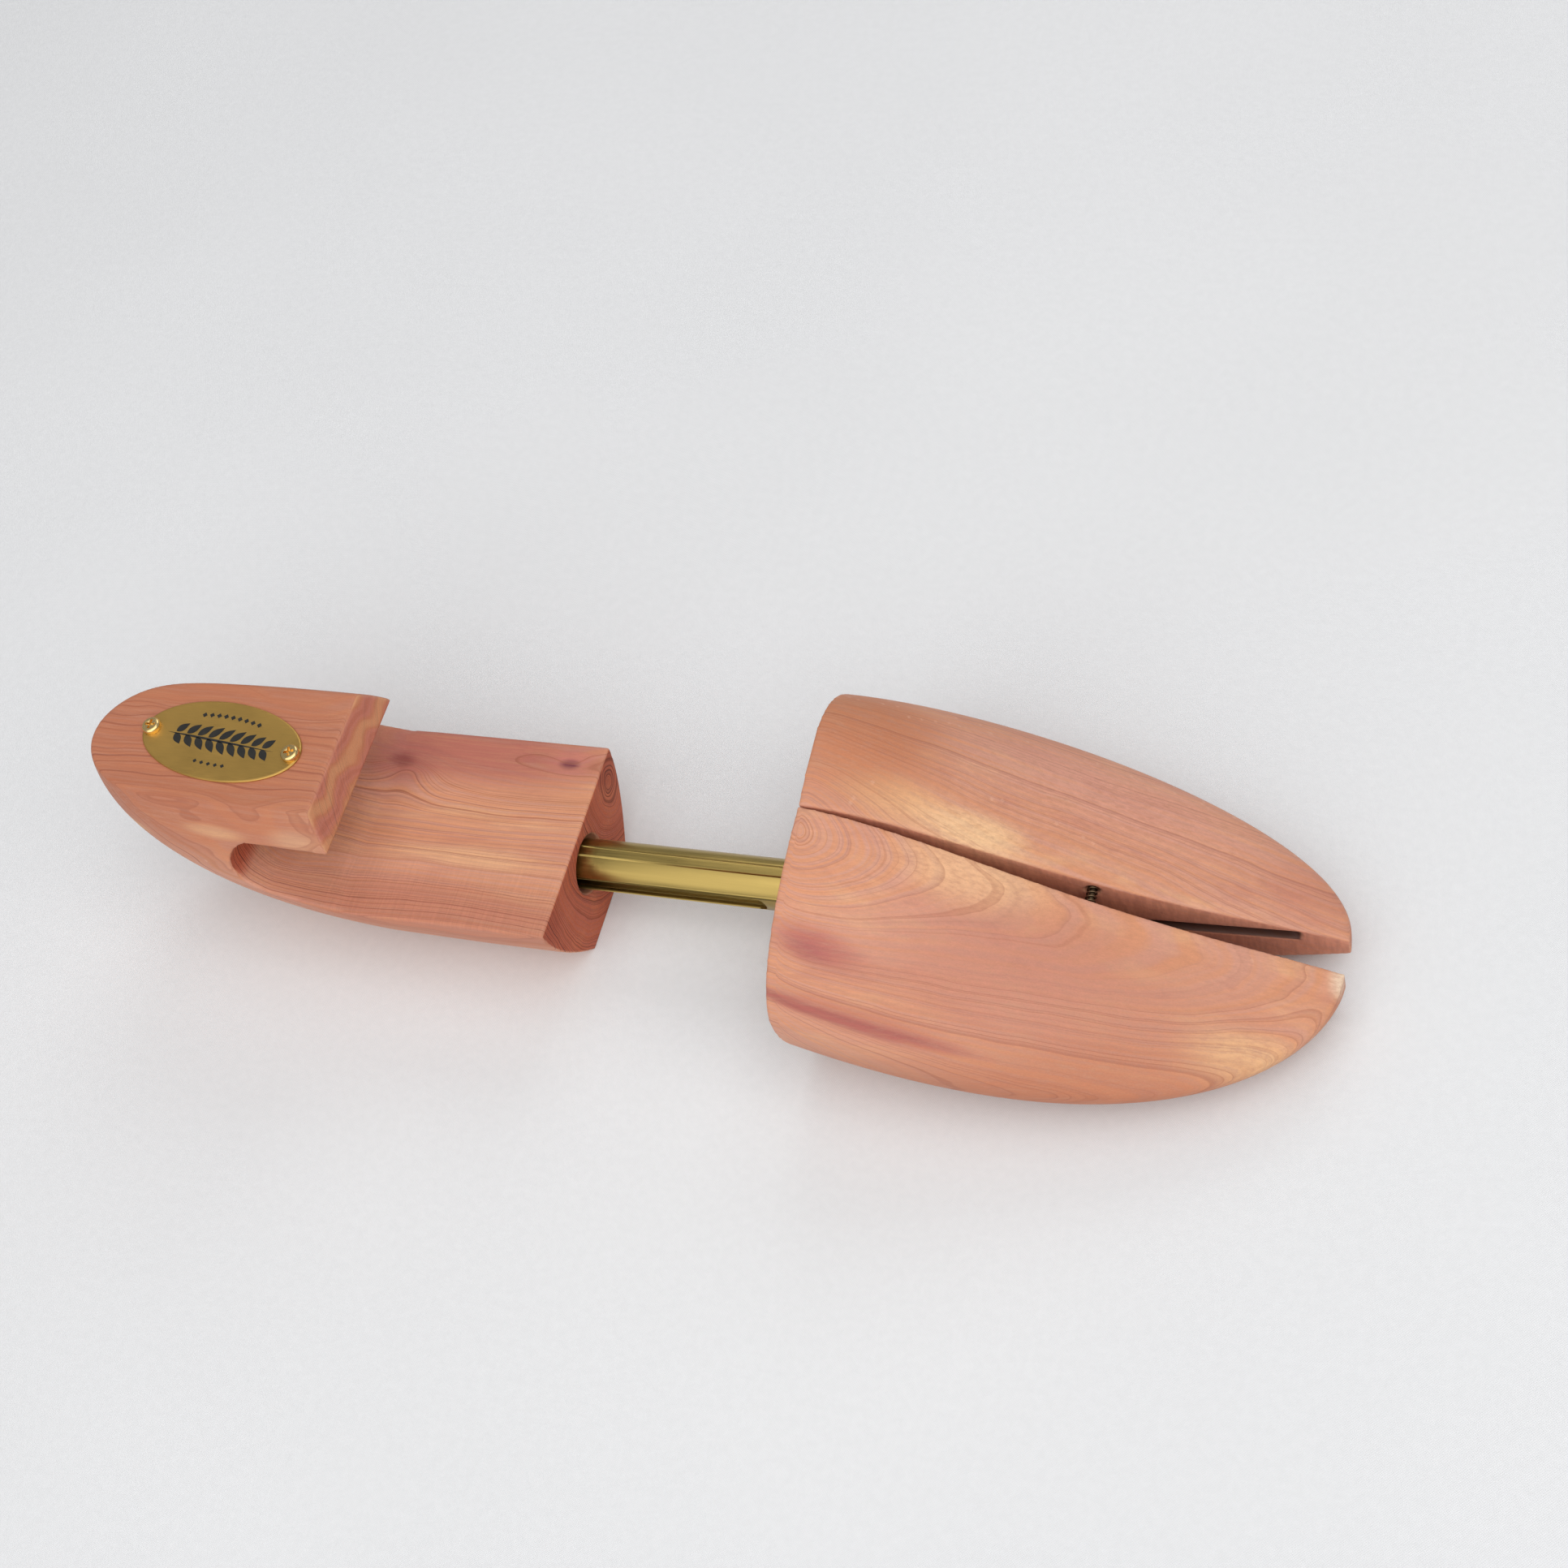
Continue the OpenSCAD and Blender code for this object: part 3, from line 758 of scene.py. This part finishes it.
def toe_rings(g, x, y, z):
    """Rings round a pith that leaves the toe's rear top and dives towards its tip."""
    along = g.math("SUBTRACT", x, TOE_REAR + 1)
    dive = g.math("MAXIMUM", g.math("MULTIPLY", along, TOE_PITH_DIVE), 0.0)
    dive = g.math("SQRT", dive)
    top = g.math("MULTIPLY_ADD", g.math("MULTIPLY", along, along), TOE_PITH_CURVE, TOE_PITH_Z)
    top = g.math("MULTIPLY_ADD", along, TOE_PITH_SLOPE, top)
    dz = g.math("SUBTRACT", dive, g.math("SUBTRACT", top, z))
    dy = g.math("SUBTRACT", y, TOE_PITH_Y)
    return distance(g, dy, dz)


def toe_cuts(g, here, facing, colour):
    """Darker sawn faces against the split, and painted shade inside the kerfs."""
    x, y, z = g.axes(here)
    near_split = g.step(g.math("ABSOLUTE", y), 7.0, 9.0, 1.0, 0.0)
    inner = g.math("MULTIPLY", near_split, g.step(g.math("ABSOLUTE", facing[1]), 0.9, 0.98))
    strokes = g.noise(here, (0.9, 1.0, 0.25), 3, 0.6, (2, 5, 1))
    sawn = g.mix(g.step(strokes, 0.3, 0.7), SAWN, SAWN_DARK)
    colour = g.mix(g.math("MULTIPLY", inner, 0.55), colour, sawn)
    # Painted shade inside each kerf slot.
    from_kerf = g.math("ABSOLUTE", g.math("SUBTRACT", z, AXIS_Z - KERF_DROP))
    level = g.step(from_kerf, KERF_H / 2 + 0.1, KERF_H / 2 + 0.5, 1.0, 0.0)
    kerf_shade = g.math("MULTIPLY", near_split, level)
    kerf_end = TOE_REAR + TOE_LEN - KERF_LEFT
    kerf_shade = g.math("MULTIPLY", kerf_shade, g.step(x, kerf_end - 1, kerf_end, 1.0, 0.0))
    colour = g.mix(g.math("MULTIPLY", kerf_shade, 0.9), colour, KERF_SHADE)
    return colour, g.math("MULTIPLY", inner, g.math("MULTIPLY", strokes, 1.5))


def heel_cuts(g, here, facing, colour):
    """Saw marks across the grain on the bar's top, and the banded figure on the hook's front."""
    x, y, z = g.axes(here)
    strokes = g.noise(here, (2.6, 0.12, 0.4), 3, 0.7, (1, 2, 3))
    on_top = g.step(g.math("ABSOLUTE", g.math("SUBTRACT", z, BAR_H)), 0.6, 1.2, 1.0, 0.0)
    rubbed = g.math("MULTIPLY", on_top, g.step(y, -4, -15, 0.15, 1.0))
    scored = g.math("MULTIPLY", rubbed, g.step(strokes, 0.3, 0.7, -0.06, 0.05))
    colour = g.shade(colour, g.math("ADD", 1.0, scored))
    on_hook = g.math("MULTIPLY", g.step(facing[0], 0.55, 0.8), g.step(z, 40, 42))
    flow = g.math("MULTIPLY_ADD", z, 0.95, g.math("MULTIPLY", y, 0.16))
    waves = g.noise(here, (0.02, 0.085, 0.05), 2, 0.45, (4, 4, 4))
    flow = g.math("MULTIPLY_ADD", waves, 13, flow)
    band = g.math("MULTIPLY_ADD", g.math("SINE", flow), 0.5, 0.5)
    figure = g.mix(g.step(band, 0.1, 0.7), HOOK_PINK, HOOK_TAN)
    figure = g.mix(g.step(band, 0.55, 1.0, 0.0, 0.75), figure, HOOK_CREAM)
    figure = g.mix(g.step(band, 0.14, 0.0, 0.0, 0.4), figure, HOOK_LINE)
    colour = g.mix(g.math("MULTIPLY", on_hook, 0.55), colour, figure)
    return colour, g.math("MULTIPLY", rubbed, strokes)


# ------------------------------------------------------------------ metals

def brushed(name, colour, rough, streak, depth=0.004, recolour=None):
    """Metal with fine scratches; streak is their frequency along each axis."""
    g = Graph(name)
    here = g.place()
    scratch = g.noise(here, streak, 4, 0.7)
    cloud = g.noise(here, (0.06, 0.09, 0.09), 3, 0.5, (3, 1, 9))
    tone = g.step(scratch, 0.3, 0.7, 0.95, 1.03)
    tone = g.math("ADD", tone, g.step(cloud, 0.3, 0.7, -0.04, 0.03))
    base = g.shade(colour, tone)
    if recolour is not None:
        base = recolour(g, here, base)
    polish = g.step(scratch, 0.3, 0.7, rough - 0.04, rough + 0.05)
    return g.finish(
        Base_Color=base,
        Metallic=1.0,
        Roughness=g.math("ADD", polish, g.step(cloud, 0.35, 0.7, 0, 0.05)),
        Normal=g.bump(scratch, depth),
    )


def paint(name, colour):
    """Thin printed enamel, slightly uneven."""
    g = Graph(name)
    here = g.place()
    orange_peel = g.noise(here, (3, 3, 3), 3, 0.6)
    grime = g.noise(here, (0.4, 0.4, 0.4), 3, 0.6, (5, 2, 0))
    return g.finish(
        Base_Color=g.mix(g.step(grime, 0.45, 0.8, 0.0, 0.25), colour, rgb(74, 66, 52)),
        Roughness=g.step(orange_peel, 0.3, 0.7, 0.38, 0.52),
        Normal=g.bump(orange_peel, 0.01),
    )


THREADS_PER_MM = 2.0


def woven(name, colour):
    """Pale backdrop cloth with a fine plain weave."""
    g = Graph(name)
    x, y, z = g.axes(g.place())
    warp = g.math("SINE", g.math("MULTIPLY", x, 2 * math.pi * THREADS_PER_MM))
    weft = g.math("SINE", g.math("MULTIPLY", y, 2 * math.pi * THREADS_PER_MM))
    weave = g.math("MULTIPLY", warp, weft)
    slub = g.noise(g.place(), (0.5, 0.5, 0.5), 3, 0.6)
    soft = g.noise(g.place(), (0.012, 0.012, 0.012), 2, 0.5, (3, 3, 3))
    tone = g.math("MULTIPLY_ADD", weave, 0.02, g.step(slub, 0.3, 0.7, 0.985, 1.01))
    tone = g.math("MULTIPLY", tone, g.step(soft, 0.3, 0.7, 0.985, 1.0))
    return g.finish(
        Base_Color=g.shade(colour, tone),
        Roughness=g.step(slub, 0.3, 0.7, 0.85, 0.95),
        Specular_IOR_Level=0.15,
        Normal=g.bump(weave, 0.02),
    )


# Painted dark reflection of the heel's bore on the tube's plating.
BORE_REFLECTION = rgb(112, 92, 48)


def tube_bore_reflection(g, here, base):
    """Darker, patchy painted reflection of the heel's bore on the tube, up to a few millimetres
    in front of the heel.
    """
    x = g.axes(here)[0]
    near_heel = g.step(x, HEEL_FRONT + 1, HEEL_FRONT + 9, 1.0, 0.0)
    patch = g.step(g.noise(here, (0.3, 0.3, 0.3), 3, 0.6), 0.35, 0.6, 0.1, 0.5)
    return g.mix(g.math("MULTIPLY", near_heel, patch), base, BORE_REFLECTION)


# ------------------------------------------------------------------ build

heel = heel_wood()
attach(heel, "heel")
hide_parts("heel_block")

toes = {}
for side, name, body, node in (
    (NEAR, "toe_wood_near", "toe_near", "toe_half_near"),
    (FAR, "toe_wood_far", "toe_far", "toe_half_far"),
):
    toes[side] = toe_wood(name, side)
    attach(toes[side], body)
    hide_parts(node)

plate = plate_piece()
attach(plate, "heel")
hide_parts("oval_plate")

SPRING_START = HEEL_FRONT - BORE_D
SPRING_R, SPRING_WIRE_R, SPRING_TURNS = 4.95, 0.6, 12
SEAT_SPIGOT = 5
END_GAP = 0.15
SPRING_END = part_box("spring_seat")[0].x / MM + SEAT_SPIGOT - END_GAP
SPRING_LEN = SPRING_END - SPRING_START
main_coil = coil(
    "main_coil", (SPRING_START, 0, AXIS_Z), (1, 0, 0),
    SPRING_R, SPRING_WIRE_R, SPRING_LEN, SPRING_TURNS,
)
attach(main_coil, "heel")
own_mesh(main_coil)
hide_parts("main_spring")

SPREAD_HALF = 7
SPREAD_R, SPREAD_WIRE_R, SPREAD_TURNS = 0.95, 0.2, 14
spread_coil = coil(
    "spread_coil", (SPREAD_X, -SPREAD_HALF, SPREAD_Z), (0, 1, 0),
    SPREAD_R, SPREAD_WIRE_R, 2 * SPREAD_HALF, SPREAD_TURNS, per_turn=28, sides=10,
)
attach(spread_coil, "tube")
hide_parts("spreader_spring")

# ------------------------------------------------------------------ materials on the pieces

# A knot: its middle, its reach along and across the grain, and how far it pushes the grain.
HEEL_KNOTS = [
    ((-70, 13.5), (10, 8), -6.5),
    ((-33, 18.5), (6, 4), 2.5),
    ((-88, -14), (12, 5), 3.0),
]
# A spot: its middle, its radii, its slope along X, its colour and its strength.
HEEL_SPOTS = [
    ((-50, -6.5, 26), (26, 4, 5), 0.0, CREAM, 0.7),
    ((-105, 0, 48), (85, 60, 20), 0.0, rgb(180, 111, 80), 0.95),
    ((-55, 19, 26), (50, 11, 9), 0.0, rgb(174, 102, 88), 0.95),
    ((-121, -13, 37), (10, 7, 2.8), 0.25, rgb(230, 184, 134), 0.75),
    ((-97, -20, 44.5), (11, 6, 2.4), 0.0, rgb(228, 180, 134), 0.6),
    ((-77, -17, 44), (9, 5, 4), 0.0, rgb(212, 166, 130), 0.6),
    ((-50, -21, 25), (60, 11, 12), 0.0, rgb(184, 115, 92), 0.8),
    ((-72.5, 14.5, 25), (12, 8, 6), 0.0, rgb(176, 102, 92), 0.75),
    ((-72.5, 15.0, 25), (5, 2.8, 4), 0.0, rgb(134, 66, 62), 0.8),
    ((-33, 18.5, 25), (8, 4, 6), 0.0, rgb(196, 118, 108), 0.6),
    ((-33, 18.5, 25), (3.4, 1.7, 4), 0.0, rgb(112, 50, 62), 0.95),
    ((-100, -14, 36), (16, 8, 5), 0.3, CREAM, 0.5),
]
TOE_SPOTS = [
    ((80, -24, 22), (78, 24, 30), 0.0, rgb(186, 120, 92), 0.5),
    ((64, -4, 37), (20, 11, 14), -0.4, rgb(228, 178, 136), 0.85),
    ((46, 7, 44), (15, 6, 10), -0.4, rgb(232, 182, 134), 0.9),
    ((62, 5, 38), (14, 6, 10), -0.4, rgb(234, 190, 144), 0.9),
    ((88, 24, 24), (60, 18, 22), 0.0, rgb(216, 155, 136), 0.6),
    ((44, -35, 30.2), (34, 9, 1.6), -0.27, PURPLE, 1.0),
    ((44, -35, 30.8), (30, 9, 3.6), -0.27, rgb(174, 100, 84), 0.6),
    ((38, -25, 39), (13, 6, 3.6), -0.3, rgb(172, 94, 86), 0.85),
    ((37, -25, 38.6), (7, 5, 1.6), -0.3, PURPLE, 0.6),
    ((117, -25, 12), (18, 8, 6), -0.2, rgb(226, 180, 132), 0.75),
    ((134, -5, 12), (4.5, 6, 4), 0.0, rgb(235, 208, 180), 0.95),
    ((125, 12, 12), (16, 12, 8), -0.2, rgb(196, 128, 108), 0.5),
    ((75, -36, 10), (70, 20, 20), 0.0, rgb(184, 116, 85), 0.95),
    ((75, -20, 30), (60, 18, 18), 0.0, rgb(194, 130, 110), 0.65),
    ((36, 20, 45), (26, 26, 16), 0.0, rgb(192, 122, 86), 0.95),
]

heel_cedar = cedar(
    "cedar_heel", heel_rings, HEEL_KNOTS, HEEL_SPOTS,
    seed=1.0, wander=6, ripples=1.1, line=0.72, end_dark=1.0, cut_marks=heel_cuts,
)
toe_cedar = cedar(
    "cedar_toe", toe_rings, (), TOE_SPOTS,
    seed=5.0, wander=3.5, ripples=0.6, line=0.42, end_dark=0.3, cut_marks=toe_cuts,
)
plate_brass = brushed("plate_brass", rgb(206, 166, 92)[:3], 0.42, (0.3, 4, 4))
screw_brass = brushed("screw_brass", rgb(236, 204, 140)[:3], 0.22, (2, 2, 2))
# The tube's plating carries a painted dark reflection of the bore near the heel.
tube_brass = brushed("tube_brass", rgb(172, 148, 86)[:3], 0.3, (0.08, 3, 3), 0.002, tube_bore_reflection)
zinc_steel = brushed("zinc_steel", rgb(176, 172, 160)[:3], 0.34, (0.5, 2, 2))
# Dark brown wire for the spreader spring and the guide pin: its darkness is painted shade of the
# gap between the toe halves.
spring_wire_painted_shade = brushed("spring_wire_painted_shade", rgb(120, 100, 78)[:3], 0.45, (2, 2, 2))
enamel = paint("black_enamel", rgb(30, 29, 27))


def dress(obj, material):
    obj.data.materials.clear()
    obj.data.materials.append(material)


dress(heel, heel_cedar)
for side in (NEAR, FAR):
    dress(toes[side], toe_cedar)
dress(main_coil, zinc_steel)
dress(spread_coil, spring_wire_painted_shade)
plate.data.materials.append(plate_brass)
plate.data.materials.append(enamel)

# The turned and stamped metal stays as packed, under a material and fine bevels of this width.
WELD_GAP = 0.002
BEVEL_FROM = math.radians(35)
for name, material, width in (
    ("plate_screw_front", screw_brass, 0.07),
    ("plate_screw_rear", screw_brass, 0.07),
    ("slotted_tube", tube_brass, 0.12),
    ("retaining_pin", zinc_steel, 0.1),
    ("spring_seat", zinc_steel, 0.2),
    ("tongue_plate", zinc_steel, 0.15),
    ("tongue_rivet_front", zinc_steel, 0.05),
    ("tongue_rivet_rear", zinc_steel, 0.05),
    ("pivot_pin_near", zinc_steel, 0.15),
    ("pivot_pin_far", zinc_steel, 0.15),
    ("guide_pin", spring_wire_painted_shade, 0.1),
):
    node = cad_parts[name]
    for slot in node.material_slots:
        slot.material = material
    smooth_shading(node)
    weld = node.modifiers.new("weld", "WELD")
    weld.merge_threshold = WELD_GAP * MM
    bevel = node.modifiers.new("edges", "BEVEL")
    bevel.width = width * MM
    bevel.segments = 2
    bevel.limit_method = "ANGLE"
    bevel.angle_limit = BEVEL_FROM
    bevel.harden_normals = True

# ------------------------------------------------------------------ floor, light, camera

FLOOR_HALF = 3
floor = link("floor", bpy.data.meshes.new("floor"))
work = bmesh.new()
bmesh.ops.create_grid(work, x_segments=2, y_segments=2, size=FLOOR_HALF)
work.to_mesh(floor.data)
work.free()
dress(floor, woven("backdrop", rgb(228, 228, 229)[:3]))


def area_light(name, place, aim, size, power):
    light = bpy.data.lights.new(name, "AREA")
    light.size = size
    light.energy = power
    obj = bpy.data.objects.new(name, light)
    bpy.context.scene.collection.objects.link(obj)
    obj.location = place
    obj.rotation_euler = (Vector(aim) - Vector(place)).to_track_quat("-Z", "Y").to_euler()


area_light("key", (0.75, -0.4, 1.2), (0, 0, 0), 1.3, 8.4)
area_light("top", (0.0, 0.0, 1.5), (0, 0, 0), 1.3, 5)
area_light("near", (-0.1, -1.2, 0.92), (0, 0, 0), 1.8, 13.2)
area_light("back", (0.0, 1.5, 1.1), (0, 1.1, 0), 1.0, 6)

WORLD_COLOUR = (0.9, 0.92, 0.94, 1)
WORLD_STRENGTH = 0.32
world = bpy.data.worlds.new("studio")
bpy.context.scene.world = world
world.use_nodes = True
background = world.node_tree.nodes["Background"]
background.inputs["Color"].default_value = WORLD_COLOUR
background.inputs["Strength"].default_value = WORLD_STRENGTH

# The photo's camera: where it stands, and the directions right, down and forward in its picture.
CAM_PLACE = (0.18404, -0.23162, 0.43274)
CAM_RIGHT = Vector((0.93903, 0.25433, -0.23138))
CAM_DOWN = Vector((0.09012, -0.83148, -0.5482))
CAM_FORWARD = Vector((-0.33181, 0.49392, -0.8037))
CAM_LENS = 55.85
camera = bpy.data.cameras.new("camera")
camera.lens = CAM_LENS
camera.sensor_width = 36
camera.clip_start = 0.01
camera_obj = bpy.data.objects.new("camera", camera)
bpy.context.scene.collection.objects.link(camera_obj)
turn = Matrix((CAM_RIGHT, -CAM_DOWN, -CAM_FORWARD)).transposed()
camera_obj.matrix_world = Matrix.Translation(CAM_PLACE) @ turn.to_4x4()
bpy.context.scene.camera = camera_obj
bpy.context.scene.view_settings.view_transform = "Standard"
